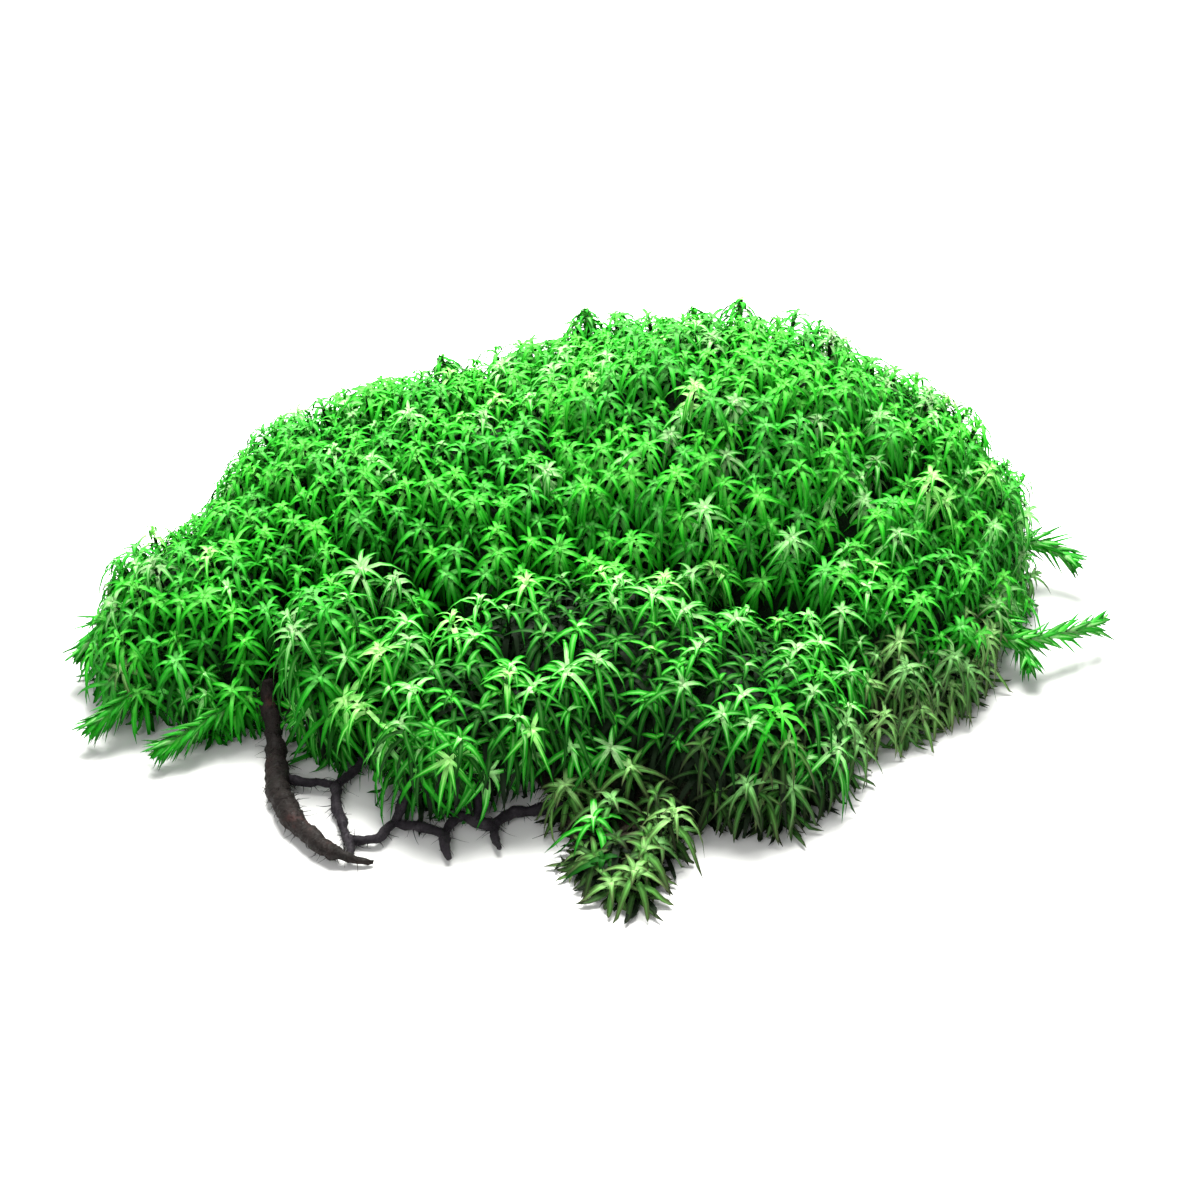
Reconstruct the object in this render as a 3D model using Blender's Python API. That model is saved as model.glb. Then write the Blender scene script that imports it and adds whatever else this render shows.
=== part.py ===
"""A cushion of drooping, star-shaped moss shoots on its own felt, cut flat underneath.

Metres, +Z up, the flat cut on z = 0, the long side along X, the open side of the cushion towards -Y.
The packed shoots are solid tufts that reach to their leaf tips, each cut back from those in front of it.
Shoots clear of the cushion, old bare stems and the runners of the open net are pieces of their own.
"""

import bmesh
import bpy
from mathutils import Vector, noise

for old in list(bpy.data.objects):
    bpy.data.objects.remove(old, do_unlink=True)

MM = 0.001

# ---- driving dimensions, in millimetres ----
GAP = 0.4  # clearance between neighbouring pieces
TIPS_OVER_CUT = 0.6  # the lowest leaf tips hang this far over the cut plane
LUMP_HEIGHT = 1.5  # how far single shoots swell the outside of a tuft
LUMP_LENGTH = 13.0  # distance from one such swelling to the next
DOME_SEGMENTS = 26
DOME_RINGS = 12

MAT_HEIGHT = 8.0
MAT_SHOULDER = 2.2  # height of the felt's widest line
MAT_UNDERCUT = 1.2  # how far the flat cut lies inside that line
MAT_TOP_INSET = 3.0
MAT_SAMPLES = 52
# Outline of the felt, anticlockwise from the left. It is hollowed at the front left, where the net lies bare.
MAT_OUTLINE = (
    (-69, 5), (-62, -8), (-52, -13), (-41, -9), (-30, -9), (-19, -14), (-8, -22), (-1.5, -33), (1, -42),
    (7, -47), (13, -42), (18, -34), (29, -30), (41, -22), (53, -10), (63, 0), (69, 16), (66, 32), (53, 43),
    (35, 50), (14, 56), (-10, 53), (-33, 48), (-52, 36), (-65, 21),
)

# Tufts, front ones first: centre, half sizes, and the height where the dome ends below.
TUFTS = {
    "tuft_foot": ((7.0, -42.5, 3.5), (9.0, 11.5, 7.0), TIPS_OVER_CUT),
    "tuft_front_low": ((-15.5, -24.0, 13.0), (15.5, 16.0, 11.0), 2.8),
    "tuft_front_left": ((-32.5, -12.0, 14.0), (14.5, 13.5, 12.0), 3.6),
    "tuft_front_right": ((23.0, -20.0, 2.5), (23.5, 20.5, 20.5), TIPS_OVER_CUT),
    "tuft_front": ((5.5, -15.0, 6.0), (33.0, 20.5, 21.5), TIPS_OVER_CUT),
    "tuft_left": ((-53.0, 4.0, 4.7), (24.5, 23.5, 20.5), TIPS_OVER_CUT),
    "tuft_right": ((45.5, 10.0, 0.5), (26.0, 29.0, 26.5), TIPS_OVER_CUT),
    "tuft_back_right": ((47.0, 25.0, 0.7), (32.0, 27.5, 39.5), TIPS_OVER_CUT),
    "tuft_crown": ((23.5, 25.5, 0.6), (47.0, 33.0, 48.6), TIPS_OVER_CUT),
    "tuft_back_left": ((-15.5, 22.5, 0.5), (51.5, 35.5, 37.8), TIPS_OVER_CUT),
    "tuft_back": ((10.0, 39.0, 0.6), (42.0, 25.5, 41.0), TIPS_OVER_CUT),
}

# Old bare stems and runners: points x, y, z and the radius at each, from the thick end.
STEMS = {
    "old_stem_rim": (
        (-45.6, -12.5, 9.5, 1.0), (-44.8, -15.5, 5.2, 1.25), (-44.0, -19.5, 2.4, 1.5), (-43.2, -24.2, 1.9, 1.7),
        (-42.2, -29.0, 2.0, 1.8), (-40.4, -33.6, 1.9, 1.75), (-37.6, -38.4, 1.8, 1.6), (-34.4, -41.6, 1.7, 1.5),
        (-30.3, -43.4, 1.3, 1.1), (-27.2, -43.2, 0.9, 0.7),
    ),
    "runner_cross": (
        (-33.5, -27.4, 1.3, 0.8), (-33.9, -30.6, 1.15, 0.8), (-32.6, -35.6, 1.0, 0.75),
        (-31.0, -39.6, 1.0, 0.75), (-30.6, -43.2, 0.9, 0.7),
    ),
    "runner_left": (
        (-43.0, -25.2, 1.4, 0.75), (-38.7, -26.6, 1.5, 0.75), (-33.6, -27.6, 1.3, 0.7),
    ),
    "runner_inner": (
        (-33.6, -27.6, 1.3, 0.7), (-31.2, -24.0, 1.9, 0.7), (-28.4, -19.0, 3.4, 0.75), (-26.4, -14.5, 5.6, 0.8),
    ),
    "runner_middle": (
        (-31.0, -38.6, 1.0, 0.7), (-27.3, -39.4, 1.0, 0.7), (-24.4, -35.6, 1.1, 0.75),
        (-20.2, -36.8, 1.1, 0.75), (-17.6, -38.3, 1.1, 0.8),
    ),
    "runner_stub_left": (
        (-17.7, -38.2, 1.1, 0.75), (-17.2, -40.6, 1.0, 0.7), (-16.4, -43.0, 0.9, 0.45),
    ),
    "runner_right": (
        (-17.7, -38.2, 1.1, 0.75), (-15.4, -34.6, 1.2, 0.75), (-13.2, -35.4, 1.1, 0.75),
        (-10.5, -36.0, 1.1, 0.8),
    ),
    "runner_stub_right": (
        (-10.5, -36.0, 1.1, 0.75), (-10.0, -38.6, 1.0, 0.65), (-9.3, -41.0, 0.8, 0.4),
    ),
    "runner_far_right": (
        (-10.5, -36.0, 1.1, 0.8), (-8.0, -34.0, 1.2, 0.8), (-5.6, -33.2, 1.3, 0.8), (-2.4, -33.2, 2.0, 0.85),
        (1.6, -33.0, 3.2, 0.9),
    ),
    "rising_stem_left": (
        (-24.4, -35.6, 1.1, 0.75), (-23.6, -33.6, 3.2, 0.8), (-22.4, -31.0, 6.8, 0.9),
    ),
    "rising_stem_middle": (
        (-13.2, -35.4, 1.1, 0.75), (-12.7, -33.2, 3.0, 0.8), (-12.2, -30.4, 6.6, 0.9),
    ),
}

# Shoots clear of the cushion: points x, y, z and the radius that their leaves reach to.
STRAYS = {
    "stray_shoot_right": (
        (66.0, 1.0, 7.5, 1.5), (74.0, 2.5, 6.2, 1.7), (81.5, 6.0, 5.4, 1.9), (86.0, 8.6, 5.8, 1.5),
        (88.8, 10.0, 6.6, 0.5),
    ),
    "stray_shoot_upper_right": (
        (70.0, 26.0, 7.5, 2.0), (77.0, 26.8, 7.6, 2.3), (81.6, 25.0, 6.6, 2.1), (84.3, 20.8, 5.0, 0.8),
    ),
    "stray_shoot_right_low": (
        (66.5, 8.0, 8.5, 1.7), (70.5, 4.5, 6.5, 1.9), (72.2, 0.5, 4.4, 1.7), (72.6, -3.5, 2.6, 0.6),
    ),
    "stray_shoot_left": (
        (-66.0, 3.0, 12.0, 1.9), (-72.0, 2.6, 9.5, 2.3), (-75.5, -0.5, 6.4, 1.9), (-76.4, -3.6, 4.0, 0.6),
    ),
    "stray_shoot_left_low": (
        (-62.5, -9.0, 8.0, 1.8), (-67.5, -14.0, 6.2, 2.1), (-71.5, -16.4, 4.0, 1.8), (-74.1, -18.2, 2.4, 0.6),
    ),
    "stray_shoot_front_left": (
        (-50.0, -13.5, 7.0, 1.7), (-55.0, -18.0, 5.2, 2.0), (-60.0, -21.0, 3.6, 1.7), (-63.8, -23.4, 2.2, 0.6),
    ),
    "stray_shoot_crown": (
        (26.8, 36.5, 37.0, 2.2), (27.3, 39.4, 42.0, 2.8), (27.8, 41.0, 45.0, 2.4), (28.1, 41.8, 47.0, 0.8),
    ),
    "stray_shoot_crown_left": (
        (22.0, 38.5, 36.0, 1.6), (21.0, 41.6, 40.2, 2.0), (20.2, 43.2, 42.2, 1.6), (19.5, 44.4, 43.6, 0.5),
    ),
    "stray_shoot_ridge": (
        (3.5, 41.0, 34.0, 1.5), (3.0, 44.2, 38.8, 1.9), (2.7, 45.8, 40.6, 1.5), (2.4, 47.0, 42.0, 0.5),
    ),
    "stray_shoot_ridge_left": (
        (-17.0, 35.0, 29.5, 1.6), (-19.4, 37.0, 33.5, 2.0), (-20.6, 38.0, 36.1, 1.6), (-21.6, 38.8, 37.9, 0.5),
    ),
}

clump = bpy.data.collections.new("moss_clump")
cutter_group = bpy.data.collections.new("cutters")
bpy.context.scene.collection.children.link(clump)
bpy.context.scene.collection.children.link(cutter_group)
root = bpy.data.objects.new("clump_origin", None)
clump.objects.link(root)


def material(name, colour, roughness):
    made = bpy.data.materials.new(name)
    made.use_nodes = True
    made.diffuse_color = (*colour, 1.0)
    shader = made.node_tree.nodes["Principled BSDF"]
    shader.inputs["Base Color"].default_value = (*colour, 1.0)
    shader.inputs["Roughness"].default_value = roughness
    shader.inputs["Metallic"].default_value = 0.0
    return made


LEAF_GREEN = material("leaf_green", (0.045, 0.22, 0.03), 0.45)
LEAF_OLIVE = material("leaf_olive", (0.055, 0.13, 0.035), 0.5)
FELT_BROWN = material("felt_brown", (0.035, 0.025, 0.018), 0.95)
OLD_BARK = material("old_bark", (0.07, 0.04, 0.035), 0.8)
RUNNER_GREY = material("runner_grey", (0.028, 0.024, 0.03), 0.75)


def add_piece(name, mesh, look):
    piece = bpy.data.objects.new(name, mesh)
    clump.objects.link(piece)
    piece.parent = root
    mesh.materials.append(look)
    return piece


def add_cutter(name, mesh):
    cutter = bpy.data.objects.new("cut_" + name, mesh)
    cutter_group.objects.link(cutter)
    cutter.hide_render = True
    cutter.display_type = "WIRE"
    return cutter


def dome_mesh(name, centre, halves, floor, grown=0.0):
    """A gently lumpy dome about its own centre, cut level at floor. grown moves its skin outwards."""
    bm = bmesh.new()
    bmesh.ops.create_uvsphere(bm, u_segments=DOME_SEGMENTS, v_segments=DOME_RINGS, radius=1.0)
    for vert in bm.verts:
        unit = vert.co.copy()
        skin = Vector([h * u for h, u in zip(halves, unit)])
        out = Vector([u / h for u, h in zip(unit, halves)]).normalized()
        swell = LUMP_HEIGHT * noise.noise((skin + Vector(centre)) / LUMP_LENGTH + Vector((3.1, 7.7, 1.3)))
        vert.co = (skin + out * (swell + grown)) * MM
    level = (floor - grown - centre[2]) * MM
    if min(vert.co.z for vert in bm.verts) < level:
        parts = bm.verts[:] + bm.edges[:] + bm.faces[:]
        bmesh.ops.bisect_plane(
            bm, geom=parts, dist=1e-7, plane_co=(0, 0, level), plane_no=(0, 0, -1), clear_outer=True
        )
        bmesh.ops.contextual_create(bm, geom=[edge for edge in bm.edges if edge.is_boundary])
    bmesh.ops.recalc_face_normals(bm, faces=bm.faces[:])
    mesh = bpy.data.meshes.new(name)
    bm.to_mesh(mesh)
    bm.free()
    return mesh


def tube_mesh(name, points, grown=0.0):
    """A round tapering tube with closed ends, swept along a line of straight steps."""
    line = bpy.data.curves.new(name, "CURVE")
    line.dimensions = "3D"
    line.bevel_depth = MM
    line.bevel_resolution = 2
    line.use_fill_caps = True
    spline = line.splines.new("POLY")
    spline.points.add(len(points) - 1)
    for spot, (x, y, z, radius) in zip(spline.points, points):
        spot.co = (x * MM, y * MM, z * MM, 1.0)
        spot.radius = radius + grown
    swept = bpy.data.objects.new(name, line)
    cutter_group.objects.link(swept)
    mesh = bpy.data.meshes.new_from_object(swept.evaluated_get(bpy.context.evaluated_depsgraph_get()))
    bpy.data.objects.remove(swept, do_unlink=True)
    bpy.data.curves.remove(line)
    bm = bmesh.new()
    bm.from_mesh(mesh)
    bmesh.ops.remove_doubles(bm, verts=bm.verts[:], dist=0.00001)
    bmesh.ops.recalc_face_normals(bm, faces=bm.faces[:])
    bm.to_mesh(mesh)
    bm.free()
    return mesh


def smooth_outline(points, samples):
    """A closed Catmull-Rom curve through the points."""
    curve = []
    for s in range(samples):
        at = s * len(points) / samples
        i, t = int(at), at - int(at)
        a, b, c, d = (Vector(points[(i + k) % len(points)]) for k in (-1, 0, 1, 2))
        bend = (2 * a - 5 * b + 4 * c - d) * t**2 + (3 * b - a - 3 * c + d) * t**3
        curve.append(0.5 * (2 * b + (c - a) * t + bend))
    return curve


def felt_mesh(name, grown=0.0):
    """A low slab, lofted between the flat cut, the shoulder and the flat top."""
    outline = smooth_outline(MAT_OUTLINE, MAT_SAMPLES)
    levels = (
        (-grown, -MAT_UNDERCUT),
        (MAT_SHOULDER, 0.0),
        (MAT_HEIGHT * 0.72, -MAT_TOP_INSET * 0.4),
        (MAT_HEIGHT + grown, -MAT_TOP_INSET),
    )
    bm = bmesh.new()
    rings = []
    for z, offset in levels:
        ring = []
        for i, point in enumerate(outline):
            along = (outline[(i + 1) % len(outline)] - outline[i - 1]).normalized()
            wobble = 0.5 * noise.noise(Vector((point.x / 6, point.y / 6, z / 4)))
            spot = point + Vector((along.y, -along.x)) * (offset + grown + wobble)
            ring.append(bm.verts.new((spot.x * MM, spot.y * MM, z * MM)))
        rings.append(ring)
    for low, high in zip(rings, rings[1:]):
        for k in range(len(low)):
            n = (k + 1) % len(low)
            bm.faces.new((low[k], low[n], high[n], high[k]))
    bm.faces.new(rings[0][::-1])
    bm.faces.new(rings[-1])
    bmesh.ops.triangulate(bm, faces=bm.faces[:])
    mesh = bpy.data.meshes.new(name)
    bm.to_mesh(mesh)
    bm.free()
    return mesh


def keep_largest_shell(mesh):
    """A cut can leave crumbs beside the piece: only the shell with the most vertices stays."""
    bm = bmesh.new()
    bm.from_mesh(mesh)
    bmesh.ops.remove_doubles(bm, verts=bm.verts[:], dist=0.000002)
    bmesh.ops.dissolve_degenerate(bm, edges=bm.edges[:], dist=0.000002)
    left = set(bm.verts)
    largest = set()
    while left:
        stack = [left.pop()]
        shell = set(stack)
        while stack:
            for edge in stack.pop().link_edges:
                fresh = left.intersection(edge.verts)
                left -= fresh
                shell |= fresh
                stack.extend(fresh)
        if len(shell) > len(largest):
            largest = shell
    bmesh.ops.delete(bm, geom=[vert for vert in bm.verts if vert not in largest], context="VERTS")
    bmesh.ops.triangulate(bm, faces=bm.faces[:])
    bmesh.ops.recalc_face_normals(bm, faces=bm.faces[:])
    bm.to_mesh(mesh)
    bm.free()


def box_of(obj):
    corners = [obj.location + Vector(corner) for corner in obj.bound_box]
    return [min(c[a] for c in corners) for a in range(3)], [max(c[a] for c in corners) for a in range(3)]


def cut_back(piece):
    """Cuts the piece back by the gap from every earlier piece that it meets.

    The domes cross each other at shallow angles, where the exact solver loses whole shells, so this is the
    manifold one: every piece and cutter here is a closed mesh.
    """
    low, high = box_of(piece)
    for cutter in cutter_group.objects:
        other_low, other_high = box_of(cutter)
        if all(low[a] < other_high[a] and other_low[a] < high[a] for a in range(3)):
            cut = piece.modifiers.new(cutter.name, "BOOLEAN")
            cut.operation = "DIFFERENCE"
            cut.solver = "MANIFOLD"
            cut.object = cutter
    graph = bpy.context.evaluated_depsgraph_get()
    mesh = bpy.data.meshes.new_from_object(piece.evaluated_get(graph))
    piece.modifiers.clear()
    keep_largest_shell(mesh)
    piece.data = mesh


# ---- the felt ----
add_piece("rhizoid_mat", felt_mesh("rhizoid_mat"), FELT_BROWN)
add_cutter("rhizoid_mat", felt_mesh("cut_rhizoid_mat", GAP))

# ---- the tufts, from the front backwards ----
for name, (centre, halves, floor) in TUFTS.items():
    look = LEAF_OLIVE if name == "tuft_foot" else LEAF_GREEN
    piece = add_piece(name, dome_mesh(name, centre, halves, floor), look)
    piece.location = Vector(centre) * MM
    bpy.context.view_layer.update()
    cut_back(piece)
    cutter = add_cutter(name, dome_mesh("cut_" + name, centre, halves, floor, GAP))
    cutter.location = piece.location

# ---- the old stem, the net of runners and the stems that rise from it ----
for name, points in STEMS.items():
    piece = add_piece(name, tube_mesh(name, points), OLD_BARK if name == "old_stem_rim" else RUNNER_GREY)
    bpy.context.view_layer.update()
    cut_back(piece)
    add_cutter(name, tube_mesh("cut_" + name, points, GAP))

# ---- the shoots that stand clear ----
for name, points in STRAYS.items():
    piece = add_piece(name, tube_mesh(name, points), LEAF_GREEN)
    bpy.context.view_layer.update()
    cut_back(piece)
    add_cutter(name, tube_mesh("cut_" + name, points, GAP))

for cutter in list(cutter_group.objects):
    bpy.data.objects.remove(cutter, do_unlink=True)

# ---- the middle of the whole clump's box stands on the origin ----
pieces = [piece for piece in clump.objects if piece.type == "MESH"]
for piece in pieces:
    piece.data.shade_smooth()
    piece.data.set_sharp_from_angle(angle=0.7)
bpy.context.view_layer.update()
boxes = [box_of(piece) for piece in pieces]
for axis in (0, 1):
    low = min(box[0][axis] for box in boxes)
    high = max(box[1][axis] for box in boxes)
    root.location[axis] = -(low + high) / 2
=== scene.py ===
"""Moss clump: a cushion of drooping, star-headed shoots standing on its own brown felt, cut flat
underneath, with an open net of bare runners under its front left side."""

import math

import bmesh
import bpy
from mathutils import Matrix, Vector, noise
from mathutils.bvhtree import BVHTree


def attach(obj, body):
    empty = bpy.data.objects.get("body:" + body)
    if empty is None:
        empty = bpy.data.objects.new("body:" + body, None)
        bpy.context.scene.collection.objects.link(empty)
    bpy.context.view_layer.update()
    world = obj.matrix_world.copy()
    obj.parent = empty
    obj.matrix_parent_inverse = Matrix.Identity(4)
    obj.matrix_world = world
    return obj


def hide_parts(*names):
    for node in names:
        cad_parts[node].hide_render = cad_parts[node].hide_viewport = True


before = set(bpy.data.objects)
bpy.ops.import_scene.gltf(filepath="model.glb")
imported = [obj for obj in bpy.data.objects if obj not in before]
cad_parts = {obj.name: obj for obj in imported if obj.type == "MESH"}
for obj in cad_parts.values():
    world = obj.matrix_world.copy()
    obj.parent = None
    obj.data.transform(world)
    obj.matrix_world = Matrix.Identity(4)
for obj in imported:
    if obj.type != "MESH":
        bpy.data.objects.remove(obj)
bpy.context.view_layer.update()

MM = 0.001

# ---- The felt -----------------------------------------------------------------------------------
# Dead stems, rootlets and peat that the clump has knitted under itself: dark, fibrous and matt, and painted
# a darker green higher up, as shade under the shoots. It was lifted from the ground with a flat cut, and
# fills the cushion below the layer of living shoots.

LIVING_LAYER = 6.0 * MM  # depth of the leafy shoots over the felt
FELT_EDGE = 2.6 * MM  # thickness of the felt at its cut rim
FELT_MIDDLE = Vector((0.0, 5.0 * MM, 0.0))
FELT_RINGS = 26
WELD = 0.004 * MM  # corners nearer to each other than this are one
OVERHANGS = ("tuft_front_left", "tuft_front_low")  # these stand clear of the felt, over the open net


def solid_skins(node_names):
    """The skins of several CAD solids, with the corners of their loose triangles joined."""
    bm = bmesh.new()
    for name in node_names:
        bm.from_mesh(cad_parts[name].data)
    bmesh.ops.remove_doubles(bm, verts=bm.verts[:], dist=WELD)
    return bm


def in_scene(name, data):
    """A new object in the scene, with a mesh, a lamp or a camera in it."""
    obj = bpy.data.objects.new(name, data)
    bpy.context.scene.collection.objects.link(obj)
    return obj


tuft_names = sorted(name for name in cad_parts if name.startswith("tuft_"))
standing_tufts = solid_skins(name for name in tuft_names if name not in OVERHANGS)
canopy = BVHTree.FromBMesh(standing_tufts)
standing_tufts.free()


def canopy_height(x, y):
    hit = canopy.ray_cast(Vector((x, y, 0.1)), Vector((0, 0, -1)))[0]
    return hit.z if hit else 0.0


def felt_height(x, y):
    """The canopy lowered by a ball as thick as the living layer, which rolls under it."""
    lowest = canopy_height(x, y) - LIVING_LAYER
    for ring, count in ((0.5, 6), (0.85, 10)):
        reach = LIVING_LAYER * ring
        drop = math.sqrt(LIVING_LAYER**2 - reach**2)
        for k in range(count):
            turn = 2 * math.pi * k / count
            height = canopy_height(x + reach * math.cos(turn), y + reach * math.sin(turn))
            lowest = min(lowest, height - drop)
    return lowest


def felt_rings():
    """Rings of places from the sole's edge up the cut rim, then over the top to near the middle."""
    skin = solid_skins(["rhizoid_mat"])
    sole = [vert.co.copy() for vert in skin.verts if vert.co.z < 0.1 * MM]
    skin.free()
    sole.sort(key=lambda spot: math.atan2(spot.y - FELT_MIDDLE.y, spot.x))
    rings = []
    for widen, height in ((0.0, 0.0), (0.02, 0.25), (0.03, 0.6), (0.015, 0.9)):
        places = [FELT_MIDDLE + (spot - FELT_MIDDLE) * (1 + widen) for spot in sole]
        rings.append([(place.x, place.y, height * FELT_EDGE) for place in places])
    for k in range(1, FELT_RINGS):
        share = (1 - k / FELT_RINGS) ** 0.8
        places = [FELT_MIDDLE + (spot - FELT_MIDDLE) * share for spot in sole]
        rings.append([(spot.x, spot.y, max(FELT_EDGE, felt_height(spot.x, spot.y))) for spot in places])
    return rings


def roughened(x, y, height):
    """A place on the felt, with its height made uneven above the flat sole."""
    if height == 0:
        return (x, y, 0.0)
    return (x, y, max(0.0, height + noise.noise(Vector((x, y, height)) / (3.0 * MM)) * 0.6 * MM))


def felt_mesh():
    bm = bmesh.new()
    made = [[bm.verts.new(roughened(*spot)) for spot in ring] for ring in felt_rings()]
    top_height = max(FELT_EDGE, felt_height(FELT_MIDDLE.x, FELT_MIDDLE.y))
    top = bm.verts.new((FELT_MIDDLE.x, FELT_MIDDLE.y, top_height))
    count = len(made[0])
    for low, high in zip(made, made[1:]):
        for k in range(count):
            after = (k + 1) % count
            bm.faces.new((low[k], low[after], high[after], high[k]))
    bm.faces.new(made[0][::-1])
    for k in range(count):
        bm.faces.new((made[-1][k], made[-1][(k + 1) % count], top))
    bmesh.ops.triangulate(bm, faces=[face for face in bm.faces if len(face.verts) > 4])
    bmesh.ops.recalc_face_normals(bm, faces=bm.faces[:])
    mesh = bpy.data.meshes.new("felt")
    bm.to_mesh(mesh)
    bm.free()
    mesh.shade_smooth()
    return mesh


def add_node(tree, kind, inputs=None, **settings):
    """Adds a node. inputs gives a socket, by name or number, a value or another node's output."""
    node = tree.nodes.new(kind)
    for name, value in settings.items():
        setattr(node, name, value)
    for key, value in (inputs or {}).items():
        if isinstance(value, bpy.types.NodeSocket):
            tree.links.new(value, node.inputs[key])
        else:
            node.inputs[key].default_value = value
    return node


def calc(tree, operation, *values, clamp=False):
    """One Math node. values are numbers or other nodes' outputs."""
    node = add_node(tree, "ShaderNodeMath", dict(enumerate(values)), operation=operation, use_clamp=clamp)
    return node.outputs[0]


def plus(tree, one, other):
    return calc(tree, "ADD", one, other)


def minus(tree, one, other):
    return calc(tree, "SUBTRACT", one, other)


def times(tree, *values):
    """The product of several numbers."""
    product = values[0]
    for value in values[1:]:
        product = calc(tree, "MULTIPLY", product, value)
    return product


def linear(tree, value, factor, start):
    """A number times a factor, and a start."""
    return calc(tree, "MULTIPLY_ADD", value, factor, start)


def vec(tree, operation, *values):
    """One Vector Math node that gives a vector."""
    values = dict(zip((0, 3) if operation == "SCALE" else (0, 1), values))
    return add_node(tree, "ShaderNodeVectorMath", values, operation=operation).outputs["Vector"]


def scaled(tree, vector, *shares):
    """A vector scaled by the product of several numbers."""
    return vec(tree, "SCALE", vector, times(tree, *shares))


def total(tree, *vectors):
    """The sum of several vectors."""
    whole = vectors[0]
    for vector in vectors[1:]:
        whole = vec(tree, "ADD", whole, vector)
    return whole


def unit(tree, vector):
    return vec(tree, "NORMALIZE", vector)


def parts_of(tree, vector):
    """A vector's X, Y and Z."""
    return add_node(tree, "ShaderNodeSeparateXYZ", {0: vector}).outputs


def vector_of(tree, x=0.0, y=0.0, z=0.0):
    return add_node(tree, "ShaderNodeCombineXYZ", {0: x, 1: y, 2: z}).outputs[0]


def held_above(tree, place, lowest):
    """A place, lifted to a lowest height where it is under it."""
    spot = parts_of(tree, place)
    return vector_of(tree, spot["X"], spot["Y"], calc(tree, "MAXIMUM", spot["Z"], lowest))


def ranged(tree, value, low, high, to_low, to_high, smooth=False):
    """One Map Range node: low to high becomes to_low to to_high."""
    limits = {"Value": value, "From Min": low, "From Max": high, "To Min": to_low, "To Max": to_high}
    kind = "SMOOTHSTEP" if smooth else "LINEAR"
    return add_node(tree, "ShaderNodeMapRange", limits, interpolation_type=kind).outputs["Result"]


def noise_of(tree, place, scale, detail, result="Fac", **more):
    """One Noise Texture node."""
    values = {"Vector": place, "Scale": scale, "Detail": detail, **more}
    return add_node(tree, "ShaderNodeTexNoise", values).outputs[result]


def blend(tree, share, one, other, how="MIX"):
    """Two colours mixed by a share of the second."""
    values = {0: share, 6: one, 7: other}
    return add_node(tree, "ShaderNodeMix", values, data_type="RGBA", blend_type=how).outputs[2]


def ramp(tree, value, stops, steps=False):
    """A colour ramp of (place, colour) stops, smooth or in steps."""
    node = add_node(tree, "ShaderNodeValToRGB", {"Fac": value})
    elements = node.color_ramp.elements
    while len(elements) < len(stops):
        elements.new(1.0)
    for element, (place, colour) in zip(elements, stops):
        element.position = place
        element.color = (*colour, 1)
    if steps:
        node.color_ramp.interpolation = "CONSTANT"
    return node.outputs["Color"]


def new_tree(name, inputs):
    """An empty geometry tree with named inputs. Each gives its number, or the kind of thing it takes."""
    tree = bpy.data.node_groups.new(name, "GeometryNodeTree")
    for label, value in inputs.items():
        kind = {int: "Int", float: "Float"}.get(type(value), value)
        socket = tree.interface.new_socket(label, in_out="INPUT", socket_type=f"NodeSocket{kind}")
        if kind != value:
            socket.default_value = value
    tree.interface.new_socket("Geometry", in_out="OUTPUT", socket_type="NodeSocketGeometry")
    return tree, tree.nodes.new("NodeGroupInput").outputs, tree.nodes.new("NodeGroupOutput").inputs


def position(tree):
    return add_node(tree, "GeometryNodeInputPosition").outputs[0]


def keep(tree, geometry, **values):
    """Keeps values on a geometry's points, each under its name."""
    for name, value in values.items():
        kind = "FLOAT_VECTOR" if value.type == "VECTOR" else "FLOAT"
        entry = {"Geometry": geometry, "Name": name, "Value": value}
        geometry = add_node(tree, "GeometryNodeStoreNamedAttribute", entry, data_type=kind).outputs[0]
    return geometry


def named(tree, name, kind="FLOAT"):
    node = add_node(tree, "GeometryNodeInputNamedAttribute", {"Name": name}, data_type=kind)
    return node.outputs["Attribute"]


def named_vector(tree, name):
    return named(tree, name, "FLOAT_VECTOR")


def spread(tree, low, high, seed):
    """A random number between low and high for each point."""
    values = {2: low, 3: high, 8: seed}
    return add_node(tree, "FunctionNodeRandomValue", values, data_type="FLOAT").outputs[1]


def spread_vector(tree, low, high, seed):
    """A random vector between low and high for each point."""
    values = {0: low, 1: high, 8: seed}
    return add_node(tree, "FunctionNodeRandomValue", values, data_type="FLOAT_VECTOR").outputs[0]


def planted(tree, points, piece):
    """A real copy of a piece of mesh on every point, with the point's values on it."""
    many = add_node(tree, "GeometryNodeInstanceOnPoints", {"Points": points, "Instance": piece}).outputs[0]
    return add_node(tree, "GeometryNodeRealizeInstances", {"Geometry": many}).outputs[0]


def placed(tree, geometry, place):
    return add_node(tree, "GeometryNodeSetPosition", {"Geometry": geometry, "Position": place}).outputs[0]


def dressed(tree, mesh, material):
    """A mesh shaded smooth, in a material."""
    smooth = add_node(tree, "GeometryNodeSetShadeSmooth", {"Geometry": mesh}).outputs[0]
    return add_node(tree, "GeometryNodeSetMaterial", {"Geometry": smooth, "Material": material}).outputs[0]


def run_group(tree, group, **values):
    """Another tree's result. An underscore in a name stands for a space."""
    inputs = {name.replace("_", " "): value for name, value in values.items()}
    return add_node(tree, "GeometryNodeGroup", inputs, node_tree=group).outputs[0]


def join_result(tree, result, one, other):
    """Joins two geometries as the tree's result."""
    both = tree.nodes.new("GeometryNodeJoinGeometry")
    tree.links.new(one, both.inputs[0])
    tree.links.new(other, both.inputs[0])
    tree.links.new(both.outputs[0], result["Geometry"])


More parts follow.
